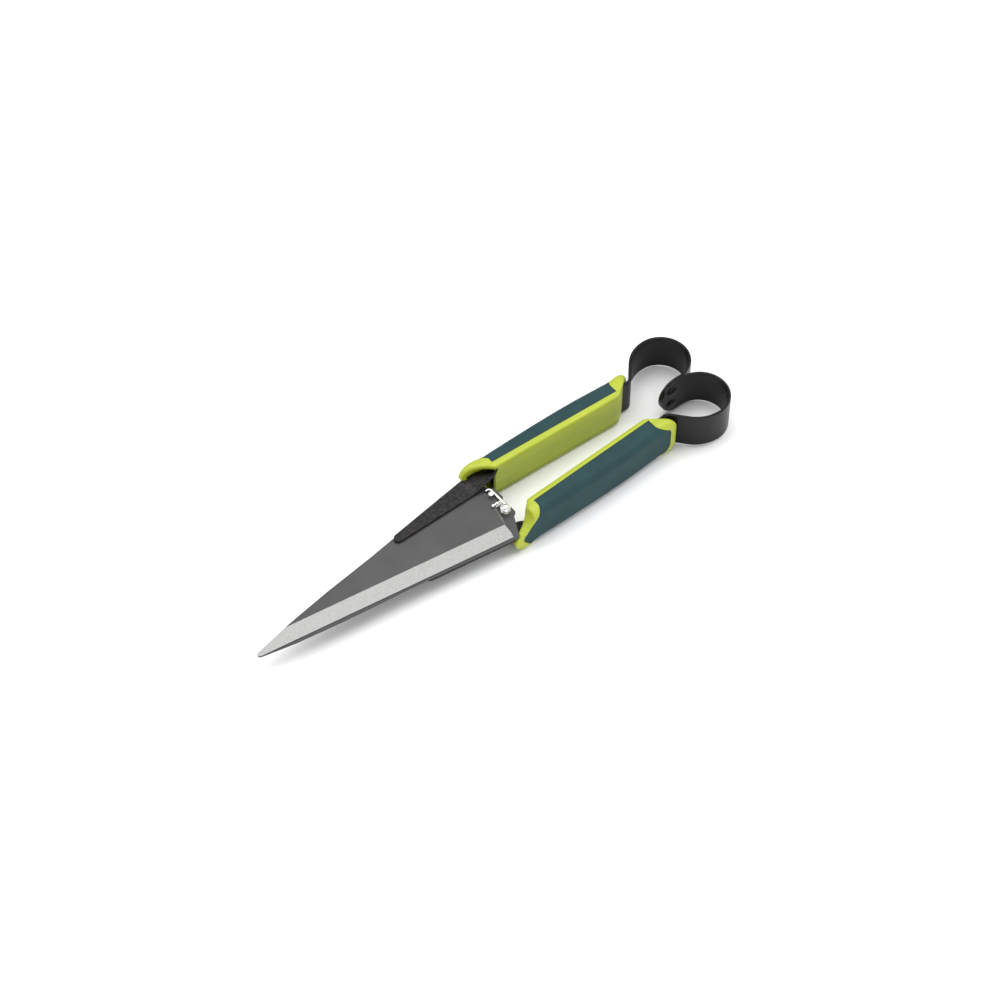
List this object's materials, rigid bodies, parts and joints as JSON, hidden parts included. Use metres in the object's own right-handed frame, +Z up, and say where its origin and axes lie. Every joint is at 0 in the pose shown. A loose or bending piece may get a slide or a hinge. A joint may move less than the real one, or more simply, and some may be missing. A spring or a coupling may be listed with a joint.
{
  "type": "grass shears",
  "caption": "One-hand spring grass shears: two pointed blades on flat strips wound into two bow loops, moulded grips, and a wire catch at the heels.",
  "frame": {"origin": "middle of the tool's length, on its centre line, in the plane on which the grips rest", "axes": "+X along the tool towards the blade points, +Z up through the flat of the blades, +Y towards the lower blade's grip"},
  "size_m": [0.3354, 0.0728, 0.0276],
  "materials": {
    "blade_steel": "satin dark coating, ground bright at the edge",
    "black_steel": "semi-gloss black",
    "lime_plastic": "satin",
    "teal_rubber": "matte soft-touch",
    "bright_steel": "bright nickel"
  },
  "bodies": {
    "bow": {"upper_loop": "black_steel", "lower_loop": "black_steel", "upper_neck": "black_steel", "lower_neck": "black_steel", "bow_rivet_top": "black_steel", "bow_rivet_bottom": "black_steel"},
    "upper_half": {"upper_blade": "blade_steel", "upper_arm": "black_steel", "upper_grip_shell": "lime_plastic", "upper_grip_panel": "teal_rubber", "catch_keeper": "bright_steel"},
    "lower_half": {"lower_blade": "blade_steel", "lower_arm": "black_steel", "lower_grip_shell": "lime_plastic", "lower_grip_panel": "teal_rubber", "catch_stud": "bright_steel", "catch_washer": "bright_steel"},
    "catch": {"catch_wire": "bright_steel", "catch_thumb_bar": "bright_steel"}
  },
  "joints": [
    {"name": "open_lower", "type": "hinge", "parent": "bow", "child": "lower_half", "pos_m": [-0.14952, 0.0182, 0.0138], "axis": [0, 0, 1], "range_deg": [0, 6.5], "deforming": ["lower_neck"]},
    {"name": "open_upper", "type": "hinge", "parent": "bow", "child": "upper_half", "pos_m": [-0.14952, -0.0182, 0.0138], "axis": [0, 0, 1], "range_deg": [-6.5, 0], "deforming": ["upper_neck"]},
    {"name": "catch_swing", "type": "hinge", "parent": "lower_half", "child": "catch", "pos_m": [-0.00653, 0.0072, 0.0173], "axis": [0, 0, 1], "range_deg": [-97.5, 0]}
  ],
  "couplings": [
    {"joint": "open_upper", "follows": "open_lower", "ratio": -1},
    {"joint": "catch_swing", "follows": "open_lower", "ratio": -15}
  ]
}
